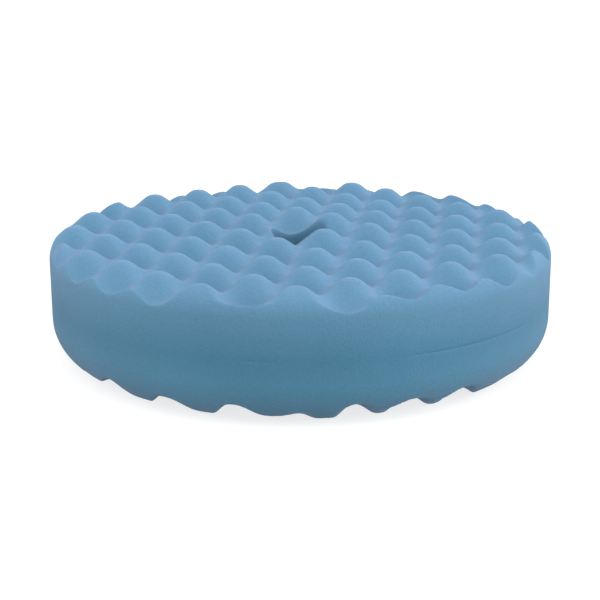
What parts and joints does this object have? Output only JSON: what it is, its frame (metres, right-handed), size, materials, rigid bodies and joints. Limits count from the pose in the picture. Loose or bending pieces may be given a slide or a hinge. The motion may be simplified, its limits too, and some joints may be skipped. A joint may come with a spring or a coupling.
{
  "type": "polishing pad",
  "caption": "Double-sided round foam polishing pad with convoluted faces, a stiff inner plate and a central hexagonal socket for a quick-connect adaptor.",
  "frame": {"origin": "centre of the pad: on the spindle axis, on the seam between the foam halves", "axes": "+Z along the spindle axis, out of the upper working face; +X to the right and +Y away when the pad is seen from the front"},
  "size_m": [0.2032, 0.2032, 0.0514],
  "materials": {
    "foam": "matte",
    "hub_nylon": "satin",
    "plate_fibre": "matte",
    "adhesive": "satin"
  },
  "bodies": {
    "root": {"upper_foam_pad": "foam", "lower_foam_pad": "foam", "upper_hub_half": "hub_nylon", "lower_hub_half": "hub_nylon", "backing_plate": "plate_fibre", "upper_plate_film": "adhesive", "lower_plate_film": "adhesive", "upper_flange_film": "adhesive", "lower_flange_film": "adhesive", "seam_bond_ring": "adhesive"}
  },
  "joints": []
}
